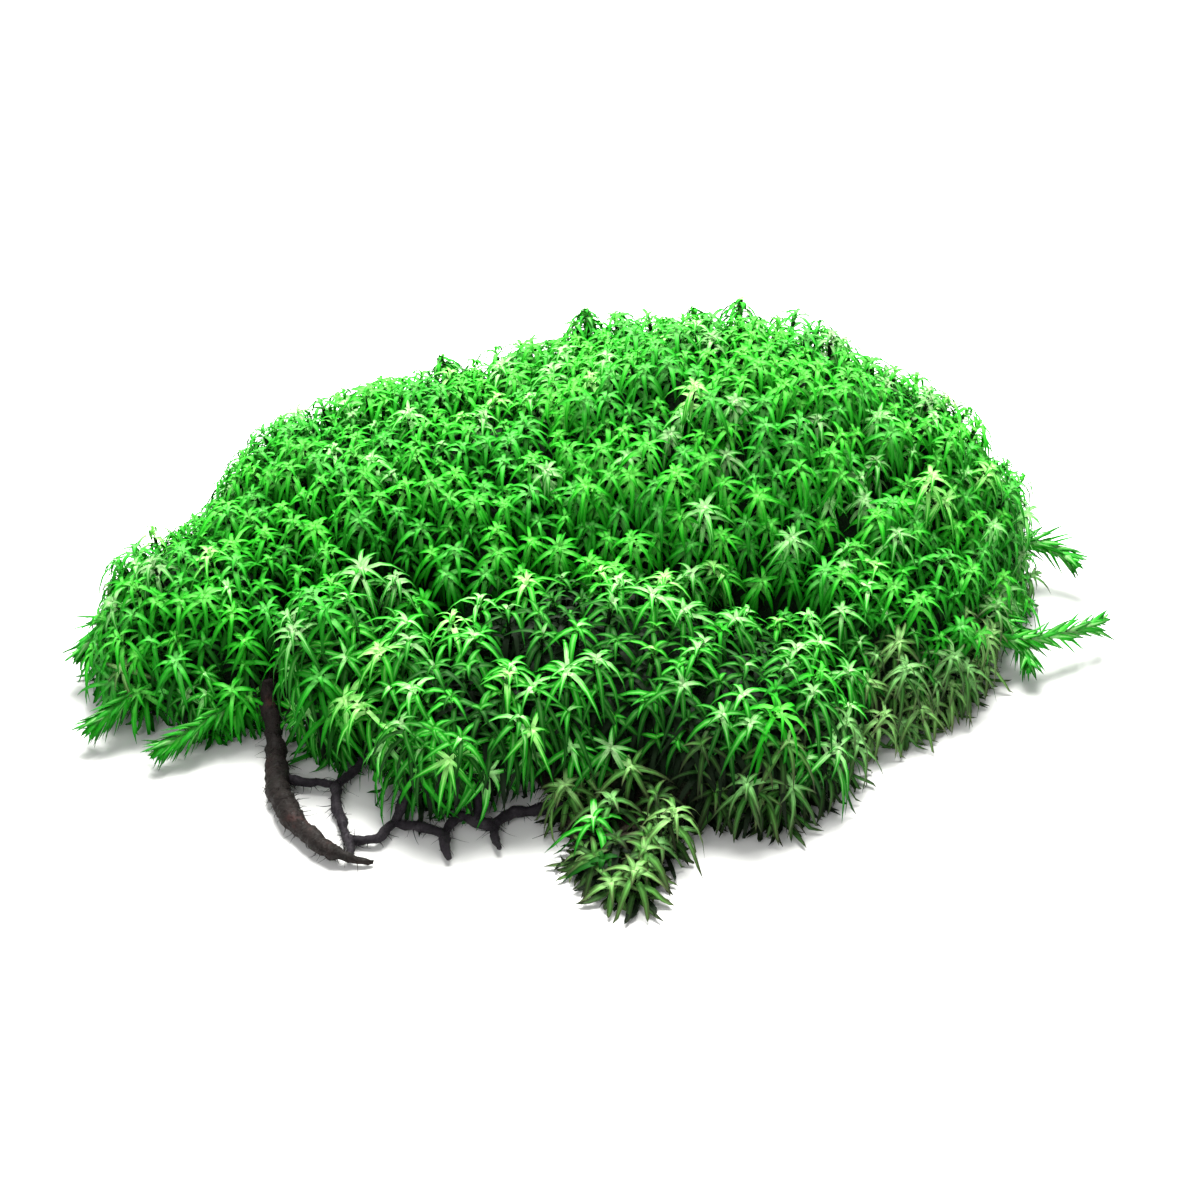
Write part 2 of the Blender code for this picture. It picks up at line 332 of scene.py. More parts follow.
def grown_mesh(obj, tree, values):
    """The plain mesh that a tree makes on an object, without its working values."""
    modifier = obj.modifiers.new(tree.name, "NODES")
    modifier.node_group = tree
    for item in tree.interface.items_tree:
        if item.in_out == "INPUT" and item.name in values:
            modifier[item.identifier] = values[item.name]
    graph = bpy.context.evaluated_depsgraph_get()
    mesh = bpy.data.meshes.new_from_object(obj.evaluated_get(graph))
    obj.modifiers.clear()
    kept = ("OFBake", "sharp_face", "material_index", "UVMap")
    for name in [one.name for one in mesh.attributes if not one.is_required and not one.is_internal]:
        if name not in kept:
            mesh.attributes.remove(mesh.attributes[name])
    return mesh


def thread_tree():
    """Turns points into thin tapering tubes. Each point brings base, axis, drift, length and thick."""
    inputs = {"Sides": 3, "Segments": 3, "Taper": 0.7, "Ground": 0.2 * MM, "Material": "Material"}
    tree, given, result = new_tree("threads", {"Thread Points": "Geometry", **inputs})
    size = {"Vertices": given["Sides"], "Side Segments": given["Segments"], "Radius": 1.0, "Depth": 1.0}
    rod = add_node(tree, "GeometryNodeMeshCylinder", size, fill_type="NONE").outputs["Mesh"]
    spot = parts_of(tree, position(tree))
    rod = keep(tree, rod, round_x=spot["X"], round_y=spot["Y"], along=plus(tree, spot["Z"], 0.5))
    mesh = planted(tree, given["Thread Points"], rod)

    along, length = named(tree, "along"), named(tree, "length")
    axis, drift = named_vector(tree, "axis"), named_vector(tree, "drift")
    line = scaled(tree, axis, length, along)
    curl = scaled(tree, drift, length, calc(tree, "POWER", along, 2.0))
    middle = total(tree, named_vector(tree, "base"), total(tree, line, curl))
    first = unit(tree, vec(tree, "CROSS_PRODUCT", axis, (0.31, 0.87, 0.19)))
    second = vec(tree, "CROSS_PRODUCT", axis, first)
    thick = times(tree, named(tree, "thick"), minus(tree, 1.0, times(tree, along, given["Taper"])))
    first = scaled(tree, first, named(tree, "round_x"), thick)
    second = scaled(tree, second, named(tree, "round_y"), thick)
    place = total(tree, middle, total(tree, first, second))
    bent = placed(tree, mesh, held_above(tree, place, given["Ground"]))
    tree.links.new(dressed(tree, bent, given["Material"]), result["Geometry"])
    return tree


threads = thread_tree()


def rootlet_tree():
    """Rootlets that stand out of a surface below a given height, and hang."""
    inputs = {"Density": 90000.0, "Highest": 11.0 * MM, "Longest": 5.0 * MM, "Thickness": 0.12 * MM}
    inputs = {"Surface": "Geometry", **inputs, "Seed": 3, "Material": "Material"}
    tree, given, result = new_tree("rootlets", inputs)
    height = parts_of(tree, position(tree))["Z"]
    low = calc(tree, "LESS_THAN", height, given["Highest"])
    inside = times(tree, low, calc(tree, "GREATER_THAN", height, 0.3 * MM))
    scatter = {label: given[label] for label in ("Density", "Seed")}
    scatter.update({"Mesh": given["Surface"], "Selection": inside})
    kind = "GeometryNodeDistributePointsOnFaces"
    starts = add_node(tree, kind, scatter, distribute_method="RANDOM").outputs
    loose = spread_vector(tree, (-0.8, -0.8, -0.7), (0.8, 0.8, 0.5), 4)
    points = keep(
        tree,
        starts["Points"],
        base=position(tree),
        axis=unit(tree, total(tree, starts["Normal"], loose)),
        drift=spread_vector(tree, (-0.6, -0.6, -0.9), (0.6, 0.6, 0.1), 5),
        length=times(tree, given["Longest"], spread(tree, 0.35, 1.0, 6)),
        thick=times(tree, given["Thickness"], spread(tree, 0.6, 1.3, 7)),
    )
    hairs = run_group(tree, threads, Thread_Points=points, Material=given["Material"])
    join_result(tree, result, given["Surface"], hairs)
    return tree


rootlets = rootlet_tree()


def fibre_group():
    """Fine tangled fibres: a colour mask and a height, from Object coordinates."""
    group = bpy.data.node_groups.new("fibres", "ShaderNodeTree")
    group.interface.new_socket("Vector", in_out="INPUT", socket_type="NodeSocketVector")
    for label, way in (("Scale", "INPUT"), ("Mask", "OUTPUT"), ("Height", "OUTPUT")):
        group.interface.new_socket(label, in_out=way, socket_type="NodeSocketFloat")
    given = group.nodes.new("NodeGroupInput").outputs
    result = group.nodes.new("NodeGroupOutput").inputs
    patches = noise_of(group, given["Vector"], given["Scale"], 6.0, Roughness=0.7)
    tangle = noise_of(group, given["Vector"], times(group, given["Scale"], 5.0), 3.0, Distortion=1.6)
    group.links.new(patches, result["Mask"])
    group.links.new(tangle, result["Height"])
    return group


fibres = fibre_group()


def new_material(name, shine):
    look = bpy.data.materials.new(name)
    look.use_nodes = True
    shader = look.node_tree.nodes["Principled BSDF"].inputs
    shader["Specular IOR Level"].default_value = shine
    return look, look.node_tree, shader


def fibre_material(name, stops, scale, low_gloss, bump_depth, gap_shade_green=None):
    """A dull fibrous finish. An optional second ramp colours it higher up: a darker green, painted shade
    where the felt shows in the gaps under the shoots.
    """
    look, tree, shader = new_material(name, 0.2)
    place = add_node(tree, "ShaderNodeTexCoord").outputs["Object"]
    pattern = add_node(tree, "ShaderNodeGroup", {"Vector": place, "Scale": scale}, node_tree=fibres).outputs
    colour = ramp(tree, pattern["Mask"], stops)
    if gap_shade_green:
        # higher up the felt is painted a darker green: the shade in the gaps under the living shoots
        share = ranged(tree, parts_of(tree, place)["Z"], 3.0 * MM, 8.0 * MM, 0.0, 1.0)
        colour = blend(tree, share, colour, ramp(tree, pattern["Height"], gap_shade_green))
    bump = {"Strength": 0.9, "Distance": bump_depth, "Height": pattern["Height"]}
    tree.links.new(colour, shader["Base Color"])
    tree.links.new(ranged(tree, pattern["Height"], 0.3, 0.7, low_gloss, 1.0), shader["Roughness"])
    tree.links.new(add_node(tree, "ShaderNodeBump", bump).outputs["Normal"], shader["Normal"])
    return look


brown_felt = fibre_material(
    "brown_felt",
    ((0.3, (0.008, 0.008, 0.005)), (0.72, (0.05, 0.04, 0.025))),
    260.0,
    0.75,
    0.6 * MM,
    # painted shade: a darker green higher up, in the gaps under the shoots
    gap_shade_green=((0.35, (0.001, 0.006, 0.001)), (0.7, (0.006, 0.03, 0.005))),
)
felt = in_scene("felt", felt_mesh())
felt.data.materials.append(brown_felt)
felt.data = grown_mesh(felt, rootlets, {"Material": brown_felt})
felt.data.name = "felt"
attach(felt, "root")
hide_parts("rhizoid_mat")

# ---- The leaf -----------------------------------------------------------------------------------
# Every leaf is one narrow blade, channelled along its keel, with a pale clasping base, a pale keel that is
# partly painted sheen, and a drawn-out tip. It grows straight out of its stem, then bends over and hangs.
# Old leaves are dark or brown, and their darkening down the stem and in the lower heads is painted shade as
# well as age.

LEAF_STEPS = 5
TINTS = 12  # columns of the leaf's colour chart: greens, in turn pale-hearted and plain, then two olives
# the darker rows, down the stem and in the low heads, are painted shade as well as age
AGES = 4  # rows of the chart: young, grown, old, dead and stem
CELL_WIDTH = 0.88  # the share of a chart's cell that the blade takes up, across
CELL_LENGTH = 0.92  # and along
CELL_START = 0.04  # where the blade starts in its cell


def over(tree, one, other, clamp=False):
    return calc(tree, "DIVIDE", one, other, clamp=clamp)


def charted(tree, geometry, column, row):
    """Gives every corner its place in the leaf's colour chart."""
    chart = vector_of(tree, over(tree, column, TINTS), over(tree, row, AGES))
    entry = {"Geometry": geometry, "Name": "OFBake", "Value": chart}
    kind = {"data_type": "FLOAT2", "domain": "CORNER"}
    return add_node(tree, "GeometryNodeStoreNamedAttribute", entry, **kind).outputs[0]


def heading(tree, weight, share_of_bend, pull):
    """A blade's direction after part of its bend, pulled down by its weight."""
    angle = minus(tree, named(tree, "rise"), times(tree, named(tree, "bend"), share_of_bend))
    outward = scaled(tree, named_vector(tree, "spoke"), calc(tree, "COSINE", angle))
    upward = scaled(tree, named_vector(tree, "axis"), calc(tree, "SINE", angle))
    return unit(tree, total(tree, outward, upward, vector_of(tree, z=times(tree, weight, -pull))))


def blade_tree():
    """Turns leaf points into blades. Each point brings where and how its leaf grows."""
    inputs = {"Weight": 0.7, "Channel": 0.55, "Ground": 0.4 * MM, "Material": "Material"}
    tree, given, result = new_tree("leaf_blades", {"Leaf Points": "Geometry", **inputs})
    size = {"Size X": 2.0, "Size Y": 1.0, "Vertices X": 3, "Vertices Y": LEAF_STEPS + 1}
    flat = add_node(tree, "GeometryNodeMeshGrid", size).outputs["Mesh"]
    spot = parts_of(tree, position(tree))
    blade = keep(tree, flat, across=spot["X"], along=plus(tree, spot["Y"], 0.5))
    mesh = planted(tree, given["Leaf Points"], blade)
    across, along, length = named(tree, "across"), named(tree, "along"), named(tree, "length")
    side = vec(tree, "CROSS_PRODUCT", named_vector(tree, "axis"), named_vector(tree, "spoke"))

    # the keel is a smooth curve: a short stiff base, the bend, and the long hanging end
    start = heading(tree, given["Weight"], 0.0, 0.0)
    bent_over = heading(tree, given["Weight"], 0.6, 0.4)
    end = heading(tree, given["Weight"], 1.0, 1.0)
    left = minus(tree, 1.0, along)
    squared = calc(tree, "POWER", along, 2.0)
    to_start = minus(tree, 1.0, calc(tree, "POWER", left, 3.0))
    to_bend = times(tree, squared, minus(tree, 3.0, times(tree, along, 2.0)))
    to_end = calc(tree, "POWER", along, 3.0)
    keel = total(
        tree,
        scaled(tree, start, to_start, 0.26),
        scaled(tree, bent_over, to_bend, 0.32),
        scaled(tree, end, to_end, 0.48),
    )
    keel = total(tree, named_vector(tree, "base"), scaled(tree, keel, length))

    # half width: clasping base, widest at a third, drawn out to the tip
    shape = times(tree, linear(tree, along, 1.7, 0.62), calc(tree, "POWER", left, 0.9))
    half = times(tree, named(tree, "width"), plus(tree, shape, 0.04))
    sideways = plus(tree, times(tree, half, across), times(tree, named(tree, "sweep"), length, squared))

    # the two halves of the blade stand up from the keel, and a tip that reaches the ground lies on it
    lift = times(tree, half, given["Channel"], calc(tree, "ABSOLUTE", across))
    forward = total(tree, scaled(tree, start, left), scaled(tree, end, along))
    up = scaled(tree, vec(tree, "CROSS_PRODUCT", forward, side), lift)
    place = total(tree, keel, scaled(tree, side, sideways), up)
    bent = placed(tree, mesh, held_above(tree, place, plus(tree, given["Ground"], times(tree, lift, 0.8))))

    # the chart cell of the leaf's tint and age, with a margin round the blade
    column = plus(tree, named(tree, "tint"), linear(tree, across, CELL_WIDTH / 2, 0.5))
    row = plus(tree, named(tree, "age"), linear(tree, along, CELL_LENGTH, CELL_START))
    bent = charted(tree, bent, column, row)
    tree.links.new(dressed(tree, bent, given["Material"]), result["Geometry"])
    return tree


leaf_blades = blade_tree()


def shades(tree, value, count, levels):
    """The colour of one of several steps, halved so that a step can also lighten."""
    stops = [(k / count, tuple(level / 2 for level in one)) for k, one in enumerate(levels)]
    return ramp(tree, over(tree, plus(tree, value, 0.5), count), stops, steps=True)


def leaf_material():
    """Colour by place in the chart: across and along one blade, in one tint, at one age."""
    look, tree, shader = new_material("moss_leaf", 0.1)
    place = add_node(tree, "ShaderNodeUVMap", uv_map="OFBake").outputs[0]
    chart = parts_of(tree, place)
    column, row = times(tree, chart["X"], TINTS), times(tree, chart["Y"], AGES)
    tint, age = calc(tree, "FLOOR", column), calc(tree, "FLOOR", row)
    column, row = calc(tree, "FRACT", column), calc(tree, "FRACT", row)
    across = linear(tree, column, 2.0 / CELL_WIDTH, -1.0 / CELL_WIDTH)
    along = linear(tree, row, 1.0 / CELL_LENGTH, -CELL_START / CELL_LENGTH)

    # fresh green, deeper towards the tip; the olive tints brown towards the tip instead
    green = (
        (0.0, (0.1, 0.72, 0.06)), (0.14, (0.03, 0.6, 0.018)), (0.4, (0.011, 0.46, 0.007)),
        (0.75, (0.005, 0.3, 0.004)), (1.0, (0.004, 0.13, 0.004)),
    )
    olive = (
        (0.0, (0.3, 0.62, 0.2)), (0.2, (0.08, 0.36, 0.05)), (0.5, (0.06, 0.18, 0.032)),
        (0.8, (0.085, 0.12, 0.05)), (1.0, (0.055, 0.06, 0.033)),
    )
    is_olive = calc(tree, "GREATER_THAN", tint, TINTS - 2.5)
    colour = blend(tree, is_olive, ramp(tree, along, green), ramp(tree, along, olive))

    # a pale keel runs from the heart to past the middle of the blade, fainter on the plain greens: partly
    # the leaf's own pale midrib, partly a painted sheen along its wet channel
    plain = times(tree, calc(tree, "MODULO", tint, 2.0), minus(tree, 1.0, is_olive))
    clear = linear(tree, plain, -0.72, linear(tree, is_olive, -0.4, 1.0))
    edge = calc(tree, "ABSOLUTE", across)
    keel = times(tree, ranged(tree, edge, 0.04, 0.6, 1.0, 0.0, smooth=True), clear)
    pale_keel_and_sheen = times(tree, keel, ranged(tree, along, 0.3, 1.0, 1.0, 0.0))
    colour = blend(tree, pale_keel_and_sheen, colour, (0.22, 0.86, 0.15, 1))
    along_keel = times(tree, keel, ranged(tree, along, 0.3, 0.95, 0.7, 0.0))
    heart = calc(tree, "MAXIMUM", ranged(tree, along, 0.1, 0.62, 1.0, 0.0, smooth=True), along_keel)
    young = times(tree, calc(tree, "LESS_THAN", age, 0.5), clear)
    colour = blend(tree, times(tree, heart, young), colour, (0.5, 1.0, 0.38, 1))

    # fine lengthwise ribs, and blotches
    ribs = linear(tree, calc(tree, "SINE", times(tree, across, 21.0)), 0.5, 0.5)
    colour = blend(tree, times(tree, ribs, 0.2), colour, (0.006, 0.12, 0.005, 1))
    blots = noise_of(tree, scaled(tree, place, 60.0), 1.0, 2.0)
    colour = blend(tree, ranged(tree, blots, 0.5, 0.8, 0.0, 0.4), colour, (0.01, 0.18, 0.01, 1))

    # each tint and each age is a shade of its own, and dead leaves lose their green; the darkening by age is
    # painted shade as well, since age grows down the stem and in the lower heads, deep in the cushion
    tints = (
        (1.0, 1.0, 1.0), (0.9, 0.95, 0.8), (0.85, 0.78, 0.85), (1.0, 1.05, 0.9), (1.05, 1.05, 0.85),
        (0.75, 0.8, 0.8), (0.7, 0.62, 0.7), (1.1, 1.15, 0.9), (1.05, 1.1, 1.05), (0.9, 0.9, 1.0),
        (0.85, 0.82, 0.85), (1.1, 0.9, 0.95),
    )
    age_and_depth_shades = [(level, level, level) for level in (1.0, 0.66, 0.24, 0.05)]
    for value, count, levels in ((tint, TINTS, tints), (age, AGES, age_and_depth_shades)):
        colour = blend(tree, 1.0, colour, shades(tree, value, count, levels), how="MULTIPLY")
        colour = scaled(tree, colour, 2.0)
    # dead leaves and stems sink to a near-black green: age, and painted shade deep in the cushion
    dead_and_deep_shade = times(tree, calc(tree, "GREATER_THAN", age, 2.5), 0.8)
    colour = blend(tree, dead_and_deep_shade, colour, (0.006, 0.015, 0.005, 1))

    bump = {"Strength": 0.35, "Distance": 0.08 * MM, "Height": ribs}
    tree.links.new(colour, shader["Base Color"])
    tree.links.new(ranged(tree, pale_keel_and_sheen, 0.0, 1.0, 0.55, 0.42), shader["Roughness"])
    tree.links.new(add_node(tree, "ShaderNodeBump", bump).outputs["Normal"], shader["Normal"])
    return look


moss_leaf = leaf_material()

# ---- The tufts ----------------------------------------------------------------------------------
# Each tuft is a crowd of shoots. A shoot is a thin brown stem that ends in a star: a pale heart of short
# young leaves, a ring of long drooping ones, and older, darker leaves down the stem, their darkening painted
# shade as well as age. Front shoots are the largest.

# spacing of the heads, length of their longest leaves and half width (mm), share of shoots without a pale
# heart, share of olive shoots near the ground, and how soon the leaves darken down the stem: age and painted
# shade, low in the crown and high at the front, which paints the lit crown lighter and the front darker
TUFTS = {
    "tuft_foot": (4.2, 11.0, 0.6, 0.1, 0.9, 5.2),
    "tuft_front_low": (5.4, 11.2, 0.52, 0.05, 0.0, 3.4),
    "tuft_front_left": (4.7, 11.0, 0.48, 0.15, 0.0, 3.3),
    "tuft_front_right": (4.7, 10.4, 0.48, 0.08, 1.5, 4.4),
    "tuft_front": (4.8, 10.6, 0.48, 0.03, 0.4, 4.6),
    "tuft_left": (4.0, 8.8, 0.43, 0.75, 0.05, 2.7),
    "tuft_right": (3.9, 8.6, 0.43, 0.6, 1.2, 2.5),
    "tuft_back_right": (3.6, 7.7, 0.42, 0.78, 0.3, 1.7),
    "tuft_crown": (3.6, 7.7, 0.42, 0.88, 0.0, 1.0),
    "tuft_back_left": (3.6, 7.7, 0.42, 0.9, 0.0, 2.0),
    "tuft_back": (3.7, 7.7, 0.42, 0.85, 0.1, 1.7),
}
LEAVES_PER_SHOOT = 29
GOLDEN_TURN = math.pi * (3 - math.sqrt(5))
TRIES_PER_HEAD = 9.0  # places tried for each head, before those too near to another are dropped
LOWEST_SKIN = 3.0 * MM  # no head grows on the canopy below this
LOWEST_HEAD = 3.2 * MM
HEAD_DEPTHS = 3.4 * MM  # how much deeper the lowest heads stand than the highest
NECK = 1.4 * MM  # from the heart down to the end of the bare stem
REACH_OVER = 1.6 * MM  # how far a tuft's heads grow over its neighbours'
STEM_LENGTH = 11.0 * MM


def distance_to(tree, solid):
    """The distance from each point to an object's skin."""
    skin = add_node(tree, "GeometryNodeObjectInfo", {"Object": solid}).outputs["Geometry"]
    return add_node(tree, "GeometryNodeProximity", {0: skin}).outputs["Distance"]


def shoot_heads(tree, given):
    """Heads a spacing apart on the canopy, where this tuft is the nearest."""
    density = over(tree, TRIES_PER_HEAD, calc(tree, "POWER", given["Spacing"], 2.0))
    scatter = {"Mesh": given["Canopy"], "Distance Min": given["Spacing"]}
    scatter.update({"Density Max": density, "Seed": given["Seed"]})
    kind = "GeometryNodeDistributePointsOnFaces"
    heads = add_node(tree, kind, scatter, distribute_method="POISSON").outputs
    points = keep(tree, heads["Points"], skin=heads["Normal"])
    place, skin = position(tree), named_vector(tree, "skin")
    level, facing = parts_of(tree, place)["Z"], parts_of(tree, skin)["Z"]
    turned_away = calc(tree, "LESS_THAN", facing, given["Lowest Facing"])
    under = calc(tree, "MAXIMUM", turned_away, calc(tree, "LESS_THAN", level, LOWEST_SKIN))
    nearer = minus(tree, distance_to(tree, given["Tuft"]), distance_to(tree, given["Neighbours"]))
    dropped = calc(tree, "MAXIMUM", calc(tree, "GREATER_THAN", nearer, given["Reach Over"]), under)
    dropped = {"Geometry": points, "Selection": dropped}
    points = add_node(tree, "GeometryNodeDeleteGeometry", dropped).outputs[0]
    freshness = ranged(tree, level, 4.0 * MM, 14.0 * MM, 0.62, 1.0)
    points = keep(tree, points, low=spread(tree, 0.0, 1.0, 10), freshness=freshness)

    # a head lies inside the skin by what its leaves reach beyond it, and some stand lower than others
    low = named(tree, "low")
    sink = times(tree, given["Leaf Length"], ranged(tree, facing, 0.0, 1.0, 0.3, 0.08, smooth=True))
    sink = plus(tree, sink, times(tree, low, HEAD_DEPTHS))
    hang = times(tree, given["Hang"], ranged(tree, facing, 0.0, 0.8, 1.0, 0.0))
    head = vec(tree, "SUBTRACT", place, scaled(tree, skin, sink))
    head = held_above(tree, vec(tree, "SUBTRACT", head, vector_of(tree, z=hang)), LOWEST_HEAD)

    # it leans outwards, most of all high on the clump, and its foot is nearly upright
    outward = scaled(tree, skin, ranged(tree, level, LOWEST_SKIN, 12.0 * MM, 0.3, 0.8))
    loose = spread_vector(tree, (-0.32, -0.32, -0.1), (0.32, 0.32, 0.1), given["Seed"])
    foot_axis = spread_vector(tree, (-0.25, -0.25, 0.8), (0.25, 0.25, 1.0), 15)
    return keep(
        tree,
        points,
        head=head,
        tip_axis=unit(tree, total(tree, outward, (0.0, 0.0, 0.55), loose)),
        foot_axis=unit(tree, foot_axis),
        turn=spread(tree, 0.0, 2 * math.pi, 11),
        size=minus(tree, spread(tree, 0.95, 1.2, 12), times(tree, low, 0.25)),
        tint=shoot_tint(tree, given, place, level),
    )


def shoot_tint(tree, given, place, level):
    """Each shoot's column in the colour chart: greens in patches, and olives near the ground."""
    patch = minus(tree, noise_of(tree, place, 60.0, 1.0), 0.5)
    wave = calc(tree, "MULTIPLY_ADD", patch, 1.4, spread(tree, 0.0, 1.0, 13), clamp=True)
    green = calc(tree, "FLOOR", times(tree, wave, TINTS / 2 - 1.01))
    is_plain = calc(tree, "LESS_THAN", spread(tree, 0.0, 1.0, 27), given["Plain Share"])
    green = linear(tree, green, 2.0, is_plain)
    olive = spread(tree, TINTS - 2.0, TINTS - 0.01, 16)
    share = times(tree, given["Olive Share"], ranged(tree, level, 6.0 * MM, 19.0 * MM, 1.0, 0.0))
    is_olive = calc(tree, "LESS_THAN", spread(tree, 0.0, 1.0, 17), share)
    tint = add_node(tree, "ShaderNodeMix", {0: is_olive, 2: green, 3: olive}, data_type="FLOAT").outputs[0]
    return calc(tree, "FLOOR", tint)


def shoot_stems(tree, given, points):
    """Stems that run from the heads down towards the felt or the ground, and lean out at their tips."""
    tip_axis = named_vector(tree, "tip_axis")
    neck = vec(tree, "SUBTRACT", named_vector(tree, "head"), scaled(tree, tip_axis, NECK))
    turn_in = vec(tree, "SUBTRACT", tip_axis, named_vector(tree, "foot_axis"))
    points = keep(
        tree,
        points,
        base=neck,
        axis=scaled(tree, tip_axis, -1.0),
        drift=scaled(tree, turn_in, 0.5),
        length=named(tree, "reach"),
        thick=spread(tree, 0.24 * MM, 0.38 * MM, 18),
    )
    make = {"Sides": 4, "Segments": 3, "Taper": -0.3, "Material": given["Material"]}
    stems = run_group(tree, threads, Thread_Points=points, **make)
    column = plus(tree, named(tree, "tint"), spread(tree, 0.1, 0.9, 14))
    return charted(tree, stems, column, linear(tree, named(tree, "along"), 0.9, 3.05))


def golden_spoke(tree, axis, aside, start):
    """The way each leaf points from its stem: a golden turn round it from the leaf before."""
    first = unit(tree, vec(tree, "CROSS_PRODUCT", axis, aside))
    turn = linear(tree, named(tree, "number"), GOLDEN_TURN, start)
    values = {"Vector": first, "Axis": axis, "Angle": turn}
    return add_node(tree, "ShaderNodeVectorRotate", values, rotation_type="AXIS_ANGLE").outputs[0]


def chart_row(tree, age, oldest):
    """An age as a row of the colour chart."""
    return calc(tree, "MINIMUM", calc(tree, "MAXIMUM", calc(tree, "FLOOR", age), 0.0), oldest)


def shoot_leaves(tree, given, points):
    """Leaves that spiral down each stem from its heart, longer, more bent, older and darker the lower they
    are: the darkening is age and painted shade.
    """
    amount = {"Geometry": points, "Amount": given["Leaves"]}
    leaves = add_node(tree, "GeometryNodeDuplicateElements", amount, domain="POINT").outputs
    number = leaves["Duplicate Index"]
    lowness = over(tree, number, minus(tree, given["Leaves"], 1.0))
    points = keep(tree, leaves["Geometry"], lowness=lowness, number=number)
    lowness, reach, low = named(tree, "lowness"), named(tree, "reach"), named(tree, "low")
    tip_axis, foot_axis = named_vector(tree, "tip_axis"), named_vector(tree, "foot_axis")

    # where the leaf leaves the curved stem, and the stem's direction there
    down = times(tree, calc(tree, "POWER", lowness, 1.3), times(tree, given["Leaf Length"], 0.95))
    share = over(tree, down, reach, clamp=True)
    along_foot = times(tree, down, share, 0.5)
    base = named_vector(tree, "head")
    for way, distance in ((tip_axis, minus(tree, down, along_foot)), (foot_axis, along_foot)):
        base = vec(tree, "SUBTRACT", base, scaled(tree, way, distance))
    axis = total(tree, scaled(tree, tip_axis, minus(tree, 1.0, share)), scaled(tree, foot_axis, share))
    points = keep(tree, points, base=base, axis=unit(tree, axis))

    grown = ranged(tree, lowness, 0.0, 0.3, 0.3, 1.0, smooth=True)
    widened = ranged(tree, lowness, 0.0, 0.3, 0.7, 1.0)
    rise = plus(tree, ranged(tree, lowness, 0.0, 0.4, 1.1, 0.68), ranged(tree, lowness, 0.4, 1.0, 0.0, -0.4))
    darkening_for_age_and_shade = times(tree, given["Darkening For Age And Shade"], named(tree, "freshness"))
    # leaves darken down the stem and in the lower heads: real ageing, and painted shade deep in the cushion
    age = linear(tree, lowness, darkening_for_age_and_shade, spread(tree, -0.8, 0.2, 26))
    age = plus(tree, age, times(tree, low, times(tree, darkening_for_age_and_shade, 0.6)))
    start = plus(tree, named(tree, "turn"), spread(tree, -0.3, 0.3, 19))
    points = keep(
        tree,
        points,
        spoke=golden_spoke(tree, named_vector(tree, "axis"), (0.35, 0.9, 0.12), start),
        length=times(tree, given["Leaf Length"], named(tree, "size"), grown, spread(tree, 0.82, 1.14, 21)),
        width=times(tree, given["Leaf Half Width"], widened, spread(tree, 0.82, 1.15, 22)),
        rise=plus(tree, rise, spread(tree, -0.2, 0.2, 23)),
        bend=plus(tree, ranged(tree, lowness, 0.0, 0.35, 1.3, 1.95), spread(tree, -0.35, 0.35, 24)),
        sweep=spread(tree, -0.18, 0.18, 25),
        age=chart_row(tree, age, AGES - 1.0),
    )
    return run_group(tree, leaf_blades, Leaf_Points=points, Material=given["Material"])


def tuft_tree():
    inputs = {
        "Canopy": "Geometry", "Tuft": "Object", "Neighbours": "Object",
        "Spacing": 6.0 * MM, "Leaf Length": 7.0 * MM, "Leaf Half Width": 0.5 * MM,
        "Leaves": LEAVES_PER_SHOOT, "Plain Share": 0.0, "Olive Share": 0.0, "Darkening For Age And Shade": 2.9,
        "Lowest Facing": -0.1, "Hang": 0.0, "Reach Over": REACH_OVER, "Stem Length": STEM_LENGTH,
        "Seed": 0, "Material": "Material",
    }
    tree, given, result = new_tree("moss_tuft", inputs)
    points = shoot_heads(tree, given)

    # a stem has its full length, or less where it would come out under the clump
    slope = plus(tree, calc(tree, "MAXIMUM", parts_of(tree, named_vector(tree, "tip_axis"))["Z"], 0.1), 1.0)
    ground_reach = over(tree, times(tree, parts_of(tree, named_vector(tree, "head"))["Z"], 2.0), slope)
    points = keep(tree, points, reach=calc(tree, "MINIMUM", given["Stem Length"], ground_reach))
    join_result(tree, result, shoot_stems(tree, given, points), shoot_leaves(tree, given, points))
    return tree


moss_tuft = tuft_tree()


def solids_object(name, node_names):
    """One working object with several CAD solids' skins in it."""
    skins = solid_skins(node_names)
    mesh = bpy.data.meshes.new(name)
    skins.to_mesh(mesh)
    skins.free()
    return in_scene(name, mesh)


def shift_skin(obj, name, distance):
    shift = obj.modifiers.new(name, "DISPLACE")
    shift.mid_level = 0.0
    shift.strength = distance


def canopy_mesh():
    """The skins of all the tufts and their felt joined in one, with the clefts between them softened."""
    whole = solids_object("canopy", tuft_names + ["rhizoid_mat"])
    shift_skin(whole, "swell", 2.6 * MM)
    join = whole.modifiers.new("join", "REMESH")
    join.mode = "VOXEL"
    join.voxel_size = 1.1 * MM
    soften = whole.modifiers.new("soften", "SMOOTH")
    soften.factor = 0.6
    soften.iterations = 24
    shift_skin(whole, "draw_in", -1.3 * MM)
    graph = bpy.context.evaluated_depsgraph_get()
    mesh = bpy.data.meshes.new_from_object(whole.evaluated_get(graph))
    bpy.data.objects.remove(whole, do_unlink=True)
    return mesh


